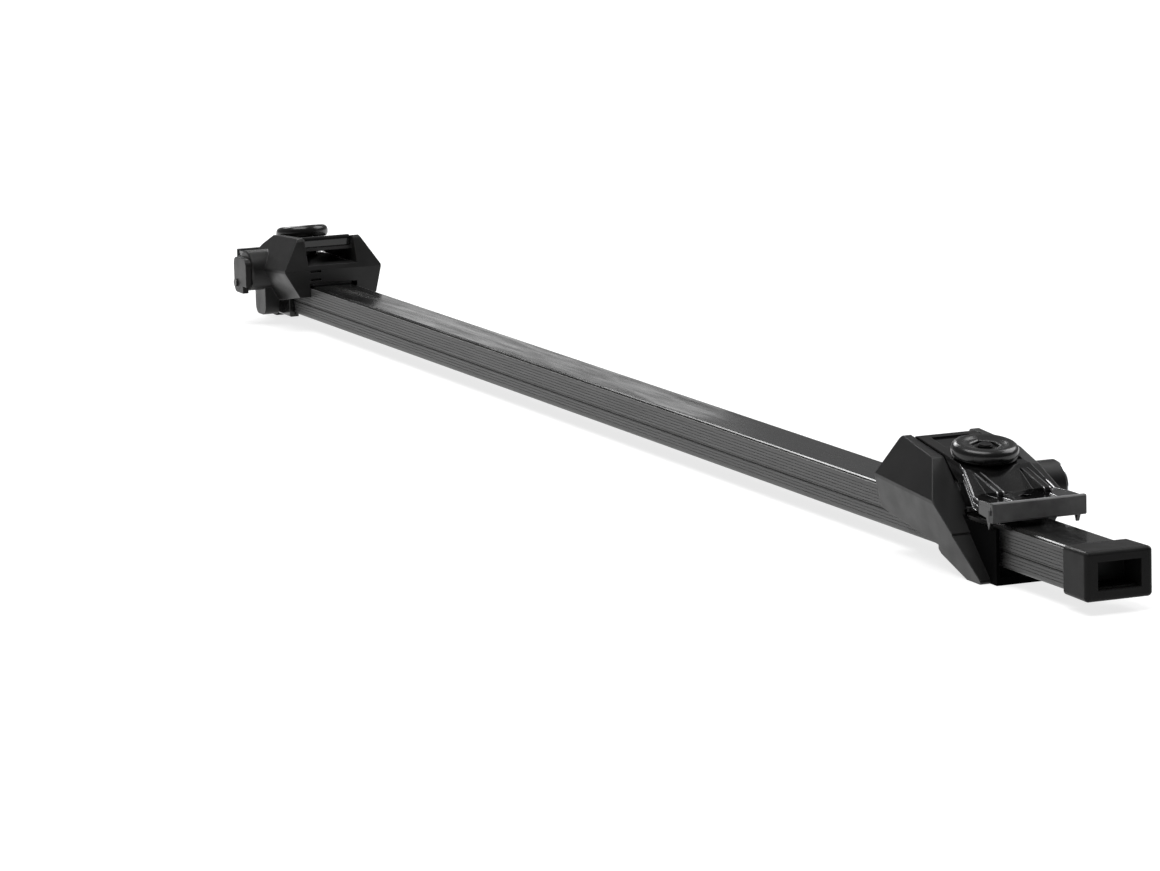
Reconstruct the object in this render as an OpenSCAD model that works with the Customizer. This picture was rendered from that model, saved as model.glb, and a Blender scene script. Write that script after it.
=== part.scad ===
// Roof rack crossbar, modelled the way it lies for storage: load side down, clamps up.
// X runs along the bar and Z is up. The origin is the middle of the bar's section.
// Each foot is drawn about its stud, with +X pointing to the near end of the bar.

/* [Bar] */
// Overall length over both end caps
bar_len = 1200; // [1000:10:1500]
// Width of the steel tube
tube_w = 30; // [28:0.5:32]
// Height of the steel tube
tube_h = 20; // [18:0.5:22]
// Wall of the steel tube
tube_wall = 1.5; // [1.2:0.1:2]
// Outer corner radius of the steel tube
tube_r = 2.2; // [1.8:0.1:3]
// Thickness of the ribbed jacket beside the tube
jacket_side = 1.5; // [1.2:0.1:2]
// Thickness of the ribbed jacket below the tube
jacket_base = 2; // [1.5:0.1:3]
// How far the jacket's lips stop below the bare face of the tube
jacket_drop = 1.2; // [0.8:0.1:2]
// Outer corner radius of the jacket
jacket_r = 2; // [1.2:0.1:3]
// Distance from one fine groove of the jacket to the next
groove_pitch = 1.7; // [1.4:0.1:2.4]
// Depth of a fine groove
groove_depth = 0.2; // [0.1:0.05:0.6]
// Depth of the wide groove along each side
band_depth = 0.7; // [0.4:0.05:0.9]

/* [End caps] */
// Depth of a cap along the bar
cap_len = 24; // [20:1:32]
// Wall of the cap's sleeve above and below the bar
cap_wall = 1.65; // [1.5:0.05:2.2]
// Wall of the cap's sleeve beside the bar
cap_side = 2.3; // [1.5:0.05:2.8]
// Thickness of the cap's end wall
cap_end = 4; // [3:0.5:6]
// Depth of the open pocket in the cap's face
cap_pocket = 18; // [10:1:20]
// Shallow step in the jacket's load face under each end cap
cap_step = 0.15; // [0.1:0.05:0.3]
// Wall of the plug that the pocket makes inside the tube
plug_wall = 1.2; // [1:0.1:2]
// Rounding of the cap's outer edges
cap_round = 2.4; // [1:0.1:2.8]

/* [Foot places] */
// Distance from the right end of the bar to the right stud
right_inset = 144; // [130:1:300]
// Distance from the left end of the bar to the left stud
left_inset = 40; // [40:1:300]

/* [Foot housing] */
// Reach of the housing from the stud towards the middle of the bar
reach_in = 58.5; // [54:0.5:70]
// Reach of the housing's sole from the stud towards the end of the bar
reach_out = 48; // [44:0.5:54]
// Height of the cheeks' inner top corner above the bare face of the bar
cheek_rise = 32.5; // [30:0.5:36]
// Height of the ridge on the cheeks above the bare face, at the stud
ridge_rise = 7.4; // [5:0.2:10]
// Half width over the ridges of the two cheeks
ridge_half = 35; // [32:0.5:40]
// Half width of the lock's cheek, level with the load face
lock_half = 17.5; // [17:0.5:24]
// Half width over the cheeks at their inner top corner
cheek_half = 22.2; // [21:0.2:24]
// Half width over the cheeks at the sole
sole_half = 24; // [22:0.5:28]
// Slope of the ridge along the bar, in degrees
ridge_slope = 4; // [0:0.5:6]
// Distance from the bar's load face down to the underside of the sole
sole_drop = 8.5; // [8:0.5:14]
// Reach of the sole past the middle of the bar, on the boss side
sole_far = 10; // [6:1:16]
// Thickness of the sole
sole_wall = 4; // [3:0.5:5]
// Length of the sole along the bar
sole_len = 18; // [12:1:24]
// Reach of the tunnel's side wall from the stud towards the end of the bar
tunnel_reach = 52.5; // [50:0.5:58]
// Thickness of the tunnel's side wall
tunnel_wall = 1.6; // [1.2:0.1:2.5]
// How far the tunnel's side wall stops below the bare face of the bar
tunnel_drop = 1.4; // [1:0.1:4]
// Height of the bridge over the bar between the cheeks
bridge_h = 12.2; // [11.6:0.2:13]
// Thickness of the ledge that carries the plate's flange
ledge_wall = 2.2; // [1.6:0.2:3]

/* [Lock boss] */
// Diameter of the boss on one cheek
boss_d = 27.5; // [26:0.5:30]
// Distance from the middle of the bar to the boss's end
boss_end = 43; // [42:0.5:50]
// Distance of the boss from the stud, towards the middle of the bar
boss_shift = 3; // [0:0.5:4]
// Height of the boss's axis above the bare face of the bar
boss_rise = 7; // [6.4:0.1:7.2]
// Diameter of the lock barrel
barrel_d = 17.8; // [16:0.2:18.4]
// Width of the lug under the boss, along the bar
lug_w = 20; // [14:1:24]
// Thickness of the lug
lug_t = 10; // [6:1:12]
// Depth of the lug below the boss's axis
lug_drop = 31; // [26:1:34]
// Side of the square cover over the left lock
cover_side = 24; // [22:0.5:26]
// How far the cover's middle lies below the boss's axis
cover_drop = 3; // [2:0.5:4]
// Thickness of the lock cover
cover_t = 4; // [2:0.5:5]
// How far the right lock barrel stands out of its boss
barrel_out_right = 2.4; // [0:0.2:5]
// How far the left lock barrel stands out of its boss, negative when it is sunk
barrel_out_left = -0.4; // [-2:0.2:-0.4]

/* [Clamp plate] */
// Thickness of the pressed plate
plate_t = 2; // [1.5:0.1:2.5]
// Tilt of the plate's top and of the stud, in degrees
plate_tilt = 8.5; // [6:0.5:10]
// Height of the plate's top above the bare face of the bar, at the stud
plate_rise = 25.8; // [25:0.2:28]
// Distance from the stud to the plate's inner flange
plate_in = 46; // [42:0.5:48]
// Distance from the stud to the plate's lip
plate_out = 59; // [55:0.5:66]
// Height of the plate's lower flat above the bare face of the bar
flat_rise = 13; // [12:0.25:14]
// Where the plate starts to slope down, measured from the stud
bend_top = 14; // [12:0.5:18]
// Where the plate's lower flat starts, measured from the stud
bend_low = 33; // [30:0.5:36]
// Half width of the plate between the cheeks
plate_half = 17.2; // [15:0.2:17.4]
// Half width of the plate at its lip
lip_half = 26; // [24:0.5:30]
// Depth of the flange at the plate's inner edge
flange_h = 7.2; // [6:0.2:8]
// Width of a pressed rib
rib_w = 4.6; // [3:0.2:6]
// Distance from the middle of the plate to a pressed rib
rib_at = 13.4; // [12:0.2:15]
// Height of a pressed rib above the lower flat at the lip
rib_rise = 2.8; // [2:0.2:5]
// Diameter of the hole in the lower flat
plate_hole_d = 7; // [4:0.5:8]
// How far the rubber strip stands above the lower flat
strip_lip = 0.7; // [0.5:0.1:1.5]
// Height of the rubber strip on the lip
strip_h = 10.3; // [9:0.1:12]
// Length of the rubber strip
strip_len = 53.4; // [53:0.2:62]
// Wall of the rubber strip
strip_wall = 1.5; // [1:0.1:2]

/* [Screws] */
// Diameter of the stud and of the side bolt
thread_d = 8; // [6:0.5:8]
// Width across the flats of the hexagons
hex_af = 13; // [12:0.5:13]
// Diameter of the disc nut
disc_d = 35.5; // [34:0.5:42]
// Thickness of the disc nut
disc_t = 6.6; // [6:0.2:8]
// Rounding of the disc nut's edges
disc_round = 2.6; // [1:0.1:3]
// Outer diameter of the thrust washer
washer_d = 16; // [13:0.5:20]
// Thickness of the thrust washer
washer_t = 1.2; // [1:0.1:2]

/* [Fits] */
// Gap between pieces that slide or turn on each other's faces
slide_gap = 0.3; // [0.2:0.05:0.4]
// Gap round a piece that is pressed or moulded in
seat_gap = 0.1; // [0.05:0.05:0.15]
// Radial gap of a turning fit
turn_gap = 0.06; // [0.03:0.01:0.09]

/* [Hidden] */
$fn = 64;
left = -1;
right = 1;
eps = 0.01;

bar_w = tube_w + 2 * jacket_side;
bar_h = tube_h + jacket_base;
face_z = bar_h / 2;
load_z = -bar_h / 2;
bar_half = bar_w / 2;
cap_w = bar_w + 2 * (cap_side + seat_gap);
cap_h = bar_h + 2 * (cap_wall + seat_gap);

cheek_in = bar_half + slide_gap;
sole_z = load_z - sole_drop;
bridge_z = face_z + 2.3;
bridge_top = bridge_z + bridge_h;
ridge_z = face_z + ridge_rise;
tight_end = 12;
tunnel_half = cap_w / 2 + slide_gap;

plate_z = face_z + plate_rise;
flat_z = face_z + flat_rise;
rib_end = plate_out - 15;
flare_from = 5;
flare_to = 44;
flange_x = -plate_in;
flange_top = plate_z + plate_in * tan(plate_tilt);
flange_low = flange_top - flange_h;
ledge_top = flange_low - slide_gap;

boss_x = -boss_shift;
boss_z = face_z + boss_rise;
head_seat = cheek_in + 2.6;
head_h = 5.2;
tail_h = 2;
barrel_back = head_seat + seat_gap + head_h + tail_h + slide_gap - min(0, barrel_out_left);
hex_r = hex_af / sqrt(3);
jaw_from = -25;
jaw_to = -2;
jaw_t = 3.3;
jaw_top = load_z + 15.6;
jaw_hook = 3;
bolt_end = cheek_in + 11.8;
slot_rows = [2, 7.6];
slot_size = [4, 8, 1.3];
window_size = [17, 22];
thread_r = thread_d / 2;
foot_low = -13.9;
foot_h = 3;
foot_half = 6;
foot_socket = 2 * (foot_half + seat_gap);
pivot_r = 1.5;
pivot_turn = -50;
insert_h = 3.2;
insert_lift = 0.9;
disc_low = slide_gap + washer_t + turn_gap;
stud_top = disc_low + disc_t - 0.5;

// Colours of the bare materials
black_plastic = [0.13, 0.13, 0.14];
rib_plastic = [0.32, 0.32, 0.33];
gloss_black = [0.07, 0.07, 0.08];
soft_rubber = [0.22, 0.22, 0.23];
zinc = [0.62, 0.64, 0.66];
bright_chrome = [0.85, 0.86, 0.88];

// A point at the given angle on a circle
function on_circle(c, r, ang) = c + r * [cos(ang), sin(ang)];

// Points of an arc from one angle to another
function arc(c, r, from, to, steps) =
    [for (i = [0:steps]) on_circle(c, r, from + (to - from) * i / steps)];

// Unit vector from one point to another
function unit(from, to) = (to - from) / norm(to - from);

// Points that round the corner b of the path a, b, c with radius r
function rounded_corner(a, b, c, r, steps) =
    let (
        u = unit(b, a),
        w = unit(b, c),
        half = acos(max(-1, min(1, u * w))) / 2,
        centre = b + unit([0, 0], u + w) * r / sin(half),
        p = b + u * r / tan(half),
        q = b + w * r / tan(half),
        from = atan2(p[1] - centre[1], p[0] - centre[0]),
        to = atan2(q[1] - centre[1], q[0] - centre[0]),
        turn = to - from > 180 ? to - from - 360 : to - from < -180 ? to - from + 360 : to - from
    )
    arc(centre, r, from, from + turn, steps);

// A flat rectangle with round corners, centred
module round_rect(w, h, r) {
    square([w - 2 * r, h], center = true);
    square([w, h - 2 * r], center = true);
    for (x = [-1, 1])
        for (y = [-1, 1])
            translate([x * (w / 2 - r), y * (h / 2 - r)])
                circle(r = r);
}

// A bar of the flat section below it, along X from x0 to x1
module along_x(x0, x1) {
    translate([x0, 0, 0])
        rotate([90, 0, 90])
            linear_extrude(x1 - x0)
                children();
}

// A side view in X and Z, drawn out along Y from y0 to y1
module along_y(y0, y1) {
    translate([0, y1, 0])
        rotate([90, 0, 0])
            linear_extrude(y1 - y0)
                children();
}

// Puts a foot's pieces on the left or the right end of the bar
module at_foot(side) {
    if (side == right)
        translate([bar_len / 2 - right_inset, 0, 0])
            children();
    else
        translate([-bar_len / 2 + left_inset, 0, 0])
            rotate([0, 0, 180])
                children();
}

// Puts pieces on the stud's own axis, with zero at the plate's upper face
module on_stud() {
    translate([0, 0, plate_z])
        rotate([0, plate_tilt, 0])
            children();
}

// Puts pieces on the boss's axis, with their Z along it and zero at the middle of the bar
module on_boss() {
    translate([boss_x, 0, boss_z])
        rotate([-90, 0, 0])
            children();
}

// Outer outline of the steel tube
module tube_outline(grow) {
    translate([0, jacket_base / 2])
        round_rect(tube_w + 2 * grow, tube_h + 2 * grow, tube_r);
}

module bar_tube() {
    color(gloss_black)
        along_x(-bar_len / 2 + cap_end + slide_gap, bar_len / 2 - cap_end - slide_gap)
            difference() {
                tube_outline(0);
                translate([0, jacket_base / 2])
                    round_rect(tube_w - 2 * tube_wall, tube_h - 2 * tube_wall, tube_r - tube_wall + 0.3);
            }
}

// Fine V grooves along one face of the jacket
module fine_grooves(span, at) {
    count = floor(span / groove_pitch);
    for (i = [0:count])
        translate([at, (i - count / 2) * groove_pitch])
            rotate(45)
                square(groove_depth * sqrt(2), center = true);
}

module bar_jacket() {
    lip_z = face_z - jacket_drop;
    band_z = load_z + 0.42 * bar_h;
    end = bar_len / 2 - cap_end - slide_gap;
    color(rib_plastic)
        difference() {
            along_x(-end, end)
                difference() {
                    round_rect(bar_w, bar_h, jacket_r);
                    tube_outline(seat_gap / 2);
                    translate([-bar_w, lip_z])
                        square([2 * bar_w, bar_h]);
                    for (s = [-1, 1]) {
                        fine_grooves(bar_h - 2 * jacket_r - 2 * jacket_drop, s * bar_half);
                        translate([s * bar_half, band_z])
                            square([2 * band_depth, 0.9], center = true);
                    }
                    rotate(90)
                        fine_grooves(bar_w - 3 * jacket_r, load_z);
                }
            for (s = [-1, 1])
                translate([s * (bar_len / 2 - cap_len / 2 - slide_gap), 0, load_z])
                    cube([cap_len, bar_w, 2 * cap_step], center = true);
        }
}

// One cap, with its open face at x = 0 and the bar behind it
module end_cap() {
    pocket_w = tube_w - 2 * tube_wall - 2 * (seat_gap + plug_wall);
    pocket_h = tube_h - 2 * tube_wall - 2 * (seat_gap + plug_wall);
    ring = [cap_w / 2 - cap_round, cap_h / 2 - cap_round];
    color(black_plastic)
        difference() {
            hull()
                for (y = [-1, 1])
                    for (z = [-1, 1]) {
                        translate([-cap_round, y * ring[0], z * ring[1]])
                            sphere(r = cap_round, $fn = 24);
                        translate([-cap_len, y * (ring[0] - 0.1), z * (ring[1] - 0.1)])
                            rotate([0, 90, 0])
                                cylinder(r = cap_round - 0.2, h = 1, $fn = 24);
                    }
            along_x(-cap_len - 1, -cap_end)
                square([bar_w + 2 * seat_gap, bar_h + 2 * seat_gap], center = true);
            along_x(-cap_end - 1, 1)
                square([pocket_w, pocket_h], center = true);
        }
    color(black_plastic)
        translate([0, 0, jacket_base / 2])
            difference() {
                along_x(-cap_pocket - plug_wall, -cap_end + eps)
                    square([pocket_w + 2 * plug_wall, pocket_h + 2 * plug_wall], center = true);
                along_x(-cap_pocket, 1)
                    square([pocket_w, pocket_h], center = true);
            }
}

module end_cap_right() {
    translate([bar_len / 2, 0, 0])
        end_cap();
}

module end_cap_left() {
    translate([-bar_len / 2, 0, 0])
        mirror([1, 0, 0])
            end_cap();
}

// Corners of the housing's side view, in X and Z
top_in = [-reach_in + 7.5, face_z + cheek_rise];
ridge_in = [-reach_in, ridge_z + reach_in * tan(ridge_slope)];
low_in = [-reach_in, load_z + 15.5];
low_out = [4, load_z + 5.7];
boss_top = [-2, face_z + cheek_rise - 2.6];
boss_brow = [11, face_z + 22.5];
boss_tail = [24, face_z + 8];
leg_top = [-12, face_z + cheek_rise - 6.2];
leg_shoulder = [1.4, face_z + 14];
sole_tip = [reach_out, sole_z];
sole_back = [reach_out - sole_len, sole_z];
step_out = [5, load_z + 1.2];
step_in = [3, load_z + 3.4];

// Side view of the housing over both cheeks
function housing_outline() =
    concat(
        rounded_corner(low_in, ridge_in, top_in, 1.5, 3),
        rounded_corner(ridge_in, top_in, boss_top, 3.5, 5),
        rounded_corner(top_in, boss_top, boss_brow, 6, 4),
        rounded_corner(boss_top, boss_brow, boss_tail, 6, 3),
        [boss_tail, [boss_tail[0], low_out[1] + 8]],
        rounded_corner(leg_shoulder, sole_tip, sole_back, 1.2, 3),
        rounded_corner(sole_tip, sole_back, step_out, 3, 3),
        [step_out, step_in, low_out, low_in]
    );

// What the cheek that carries the sole lacks, beside the lock's cheek
function leg_cut() =
    concat(
        [[-reach_in, top_in[1] + 10], top_in + [-6, 0.9]],
        rounded_corner(top_in, leg_top, leg_shoulder, 4, 4),
        rounded_corner(leg_top, leg_shoulder, sole_tip, 5, 3),
        [sole_tip + [0, 0.6], [2 * reach_in, sole_z], [2 * reach_in, top_in[1] + 10]]
    );

// What the cheek that carries the lock lacks, beside the sole's cheek
function boss_cut() = [
    [-5, low_out[1]], [boss_tail[0], low_out[1]], [boss_tail[0], 2 * reach_in],
    [2 * reach_in, 2 * reach_in], [2 * reach_in, -2 * reach_in], [-5, -2 * reach_in]
];

// End view of the two cheeks, before the middle is cut away
module cheek_section() {
    lean = (ridge_half - cheek_half) / (face_z + cheek_rise - reach_in * tan(ridge_slope) - ridge_z);
    top = 60;
    top_half = ridge_half - lean * (top - ridge_z);
    polygon([
        [-top_half, top], [top_half, top],
        [ridge_half - 0.5, ridge_z + 0.9], [ridge_half - 0.5, ridge_z - 0.9],
        [lock_half, load_z], [sole_far + 1, sole_z - 8], [-sole_half, sole_z - 8],
        [-ridge_half + 0.5, ridge_z - 0.9], [-ridge_half + 0.5, ridge_z + 0.9]
    ]);
}

// The faceted block that both cheeks, the bridge and the sole are cut from
module housing_block() {
    wide = 2 * ridge_half;
    intersection() {
        difference() {
            along_y(-wide, wide)
                polygon(housing_outline());
            along_y(-wide - 1, -bar_half)
                polygon(leg_cut());
            along_y(sole_far, wide + 1)
                polygon(boss_cut());
        }
        rotate([0, ridge_slope, 0])
            along_x(-1.5 * reach_in, 1.5 * reach_in)
                cheek_section();
    }
}

// Side wall and floor of the tunnel that the bar's end lies in
module bar_tunnel() {
    start = reach_out - sole_len;
    wall_top = face_z - tunnel_drop;
    translate([tight_end, -tunnel_half - tunnel_wall, sole_z + 1])
        cube([tunnel_reach - tight_end, tunnel_wall, wall_top - sole_z - 1]);
    translate([start, -tunnel_half - tunnel_wall, sole_z])
        cube([tunnel_reach - start, tunnel_half + tunnel_wall + sole_far, sole_wall]);
}

// The tongue that hangs from the boss beside the bar
module boss_lug() {
    corner = 6;
    low = boss_z - lug_drop;
    along_y(cheek_in + 5.2, cheek_in + 5.2 + lug_t)
        polygon(concat(
            arc([-lug_w / 2 + corner, low + corner], corner, -180, -90, 8),
            arc([lug_w / 2 - corner, low + corner], corner, -90, 0, 8),
            [[lug_w / 2, boss_z], [-lug_w / 2, boss_z]]
        ));
}

// Space for the bar, the end cap and the plate between the cheeks
module housing_channel() {
    far = 2 * reach_in;
    translate([-far, -cheek_in, -far])
        cube([far + tight_end, 2 * cheek_in, far + bridge_z]);
    translate([tight_end, -tunnel_half, sole_z + sole_wall])
        cube([far, 2 * tunnel_half, bridge_z - sole_z - sole_wall]);
    translate([-far, -plate_half - slide_gap, bridge_top])
        cube([2 * far, 2 * (plate_half + slide_gap), far]);
    translate([tight_end, -plate_half - slide_gap, bridge_z - eps])
        cube([far, 2 * (plate_half + slide_gap), far]);
    translate([0, 0, bridge_z])
        linear_extrude(far)
            polygon([
                [flare_from, -plate_half], [flare_from, plate_half + 2 * slide_gap],
                [flare_to, lip_half + 2 * slide_gap], [far, lip_half + 2 * slide_gap],
                [far, -plate_half]
            ]);
    on_stud()
        translate([0, 0, disc_low - slide_gap])
            cylinder(r = disc_d / 2 + 2 * slide_gap, h = far, $fn = 96);
}

// Room in the boss-side cheek for the jaw that hooks under the bar
module jaw_recess() {
    translate([jaw_from - slide_gap, cheek_in - eps, load_z - 5])
        cube([jaw_to - jaw_from + 2 * slide_gap, jaw_t + 0.5, jaw_top + slide_gap - load_z + 5]);
}

module foot_housing(side) {
    bore_r = barrel_d / 2 + turn_gap;
    color(black_plastic)
        at_foot(side)
            difference() {
                union() {
                    difference() {
                        housing_block();
                        housing_channel();
                    }
                    translate([-plate_in - 2, -plate_half - slide_gap - 1, ledge_top - ledge_wall])
                        cube([6, 2 * (plate_half + slide_gap + 1), ledge_wall]);
                    on_stud()
                        translate([0, 0, bridge_top - plate_z - 1])
                            cylinder(d = thread_d + 10, h = 4.5);
                    on_boss()
                        rotate_extrude($fn = 96)
                            polygon([
                                [0, cheek_in + 5], [boss_d / 2, cheek_in + 5], [boss_d / 2, boss_end - 1],
                                [boss_d / 2 - 1, boss_end], [0, boss_end]
                            ]);
                    boss_lug();
                    bar_tunnel();
                }
                on_boss() {
                    translate([0, 0, head_seat])
                        cylinder(r = bore_r, h = boss_end);
                    translate([0, 0, -cheek_in - 12])
                        cylinder(r = thread_r + slide_gap, h = 2 * cheek_in + 20);
                    translate([0, 0, -cheek_in - 11.4])
                        cylinder(r = hex_r + seat_gap, h = 6.8, $fn = 6);
                }
                on_stud() {
                    translate([0, 0, foot_low])
                        cylinder(r = thread_r + seat_gap, h = 20);
                    translate([0, 0, foot_low + foot_h / 2])
                        cube([foot_socket, foot_socket, foot_h + 2 * seat_gap], center = true);
                }
                jaw_recess();
                for (row = slot_rows)
                    translate([-reach_in - 1, 8.5, bridge_z + row])
                        cube(slot_size);
                if (side == left)
                    on_cover_pivot()
                        translate([0, 0, -8])
                            cylinder(r = pivot_r + seat_gap, h = 20);
            }
}

// Rubber between the bridge and the bare face of the bar
module top_pad(side) {
    color(soft_rubber)
        at_foot(side)
            translate([-reach_in + 3, -bar_half + 2.5, face_z + slide_gap / 2])
                cube([
                    reach_in + tight_end - 6,
                    bar_w - 5,
                    bridge_z - face_z - slide_gap / 2 - seat_gap
                ]);
}

// Steel jaw on the boss side, with its toe under the bar
module bar_jaw(side) {
    color(gloss_black)
        at_foot(side)
            along_x(jaw_from, jaw_to)
                polygon([
                    [cheek_in, jaw_top], [cheek_in + jaw_t, jaw_top],
                    [cheek_in + jaw_t, load_z - 1.2], [cheek_in + jaw_t - 0.8, load_z - 2],
                    [cheek_in - jaw_hook, load_z - 2], [cheek_in - jaw_hook, load_z - slide_gap],
                    [cheek_in, load_z - slide_gap]
                ]);
}

// Bolt that draws the two cheeks together over the bar
module side_bolt(side) {
    color(zinc)
        at_foot(side)
            on_boss() {
                translate([0, 0, head_seat + seat_gap])
                    cylinder(r = hex_r, h = head_h, $fn = 6);
                translate([0, 0, -bolt_end])
                    cylinder(r = thread_r, h = bolt_end + head_seat + seat_gap + eps);
            }
}

module bolt_nut(side) {
    color(zinc)
        at_foot(side)
            on_boss()
                translate([0, 0, -cheek_in - 11.3])
                    difference() {
                        cylinder(r = hex_r, h = 6.6, $fn = 6);
                        translate([0, 0, -1])
                            cylinder(r = thread_r + turn_gap, h = 9);
                    }
}

module lock_barrel(side) {
    stand = side == right ? barrel_out_right : barrel_out_left;
    barrel_r = barrel_d / 2;
    face = boss_end + stand;
    color(bright_chrome)
        at_foot(side)
            on_boss()
                difference() {
                    union() {
                        translate([0, 0, barrel_back + stand])
                            cylinder(r = barrel_r, h = face - barrel_back - stand - 1);
                        translate([0, 0, face - 1 - eps])
                            cylinder(r = barrel_r - 1, h = 1 + eps);
                        translate([0, 0, barrel_back + stand - tail_h])
                            cylinder(r = thread_r, h = tail_h + 1);
                    }
                    translate([-0.7, -4, face - 6])
                        cube([1.4, 8, 7]);
                }
}

// Puts pieces on the pivot of the lock cover
module on_cover_pivot() {
    ring_r = (barrel_d + boss_d) / 4;
    translate([boss_x + ring_r * cos(pivot_turn), boss_end, boss_z + ring_r * sin(pivot_turn)])
        rotate([-90, 0, 0])
            children();
}

// Square cover over the left lock, with a thumb notch at its lower inner corner
module lock_cover() {
    low = cover_side / 2;
    color(black_plastic)
        at_foot(left)
            difference() {
                along_y(boss_end + slide_gap, boss_end + slide_gap + cover_t)
                    translate([boss_x, boss_z - cover_drop])
                        difference() {
                            round_rect(cover_side, cover_side, 5);
                            translate([-low - 1, -low - 1])
                                square([8, 6]);
                        }
                on_cover_pivot()
                    translate([0, 0, -1])
                        cylinder(r = pivot_r + turn_gap, h = cover_t + 4);
            }
}

module cover_rivet() {
    color(zinc)
        at_foot(left)
            on_cover_pivot() {
                translate([0, 0, -7.9])
                    cylinder(r = pivot_r, h = 8 + 2 * slide_gap + cover_t);
                translate([0, 0, 2 * slide_gap + cover_t])
                    cylinder(r = 2.6, h = 1);
            }
}

module clamp_stud(side) {
    color(zinc)
        at_foot(side)
            on_stud() {
                translate([-foot_half, -foot_half, foot_low])
                    cube([2 * foot_half, 2 * foot_half, foot_h]);
                translate([0, 0, foot_low])
                    cylinder(r = thread_r, h = stud_top - 0.6 - foot_low);
                translate([0, 0, stud_top - 0.6 - eps])
                    cylinder(r = thread_r - 0.6, h = 0.6 + eps);
            }
}

// Height of the plate's upper face along its middle
function plate_height(x) =
    x < bend_top ? plate_z - x * tan(plate_tilt)
    : x < bend_low ? lookup(x, [[bend_top, plate_z - bend_top * tan(plate_tilt)], [bend_low, flat_z]])
    : flat_z;

// Side view of the plate's sheet, from the flange to the downturned lip
function plate_outline() =
    let (
        back = flange_x,
        lip = plate_out,
        a = [back, flange_top],
        b = [bend_top, plate_height(bend_top)],
        c = [bend_low, flat_z],
        d = [lip, flat_z]
    )
    concat(
        [[back, flange_low]],
        rounded_corner([back, flange_low], a, b, 2.4, 4),
        rounded_corner(a, b, c, 4, 3),
        rounded_corner(b, c, d, 4, 3),
        rounded_corner(c, d, [lip, flat_z - 6], 2.2, 4),
        [[lip, flat_z - 6], [lip - plate_t, flat_z - 6]],
        [[lip - plate_t, flat_z - plate_t], [bend_low - 0.6, flat_z - plate_t]],
        [[bend_top - 0.8, plate_height(bend_top) - plate_t], [back + plate_t, flange_top - plate_t - 0.3]],
        [[back + plate_t, flange_low]]
    );

// Plan view of the plate, narrow between the cheeks and wide at the lip
module plate_plan() {
    half = [
        [flange_x - 1, plate_half], [flare_from, plate_half],
        [flare_to, lip_half], [plate_out + 1, lip_half]
    ];
    polygon(concat(half, [for (i = [3:-1:0]) [half[i][0], -half[i][1]]]));
}

// Side view of a pressed rib across the bend
module rib_side(grow) {
    polygon([
        [bend_top + 2, plate_height(bend_top + 2) - plate_t],
        [bend_top + 4, plate_height(bend_top + 4) + 0.6 - grow],
        [rib_end - 1, flat_z + rib_rise - grow],
        [rib_end - grow, flat_z + rib_rise * 0.5 - grow],
        [rib_end - grow, flat_z - plate_t],
        [bend_low, flat_z - plate_t]
    ]);
}

// Side skirts that fold down from the wide part of the plate
module plate_skirts() {
    turn = atan((lip_half - plate_half) / (flare_to - flare_from));
    long = (flare_to - flare_from) / cos(turn);
    for (s = [-1, 1]) {
        translate([flare_from, s * (plate_half - 0.1), 0])
            rotate([0, 0, s * turn])
                translate([0, s > 0 ? -plate_t : 0, 0])
                    along_y(0, plate_t)
                        polygon([
                            [8, plate_height(13) - 1.5], [long * 0.72, flat_z - 0.5],
                            [long, flat_z - 0.5], [long, flat_z - 7],
                            [long * 0.6, flat_z - 4], [9, plate_height(13) - 8]
                        ]);
        translate([0, s > 0 ? lip_half - plate_t - 0.1 : 0.1 - lip_half, 0])
            along_y(0, plate_t)
                polygon([
                    [43.4, flat_z - 0.5], [plate_out - 2.6, flat_z - 0.5],
                    [plate_out - 2.6, flat_z - 9], [plate_out - 5, flat_z - 14],
                    [plate_out - 7.5, flat_z - 8], [43.4, flat_z - 7]
                ]);
    }
}

module clamp_plate(side) {
    color(gloss_black)
        at_foot(side)
            difference() {
                union() {
                    intersection() {
                        along_y(-lip_half - 1, lip_half + 1)
                            polygon(plate_outline());
                        linear_extrude(80)
                            plate_plan();
                    }
                    for (s = [-1, 1])
                        along_y(s * rib_at - rib_w / 2, s * rib_at + rib_w / 2)
                            rib_side(0);
                    plate_skirts();
                }
                for (s = [-1, 1])
                    along_y(s * rib_at - rib_w / 2 + 1.2, s * rib_at + rib_w / 2 - 1.2)
                        translate([0, -1.6])
                            rib_side(0.2);
                on_stud() {
                    for (x = [-2, 2])
                        translate([x, 0, -6])
                            cylinder(d = thread_d + 1.6, h = 12);
                    translate([-2, -thread_r - 0.8, -6])
                        cube([4, thread_d + 1.6, 12]);
                }
                translate([bend_low + 12, 0, flat_z - 5])
                    cylinder(d = plate_hole_d, h = 10);
                on_stud()
                    translate([-39.5, -window_size[1] / 2, -0.8])
                        cube([window_size[0], window_size[1], 4]);
            }
}

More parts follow.
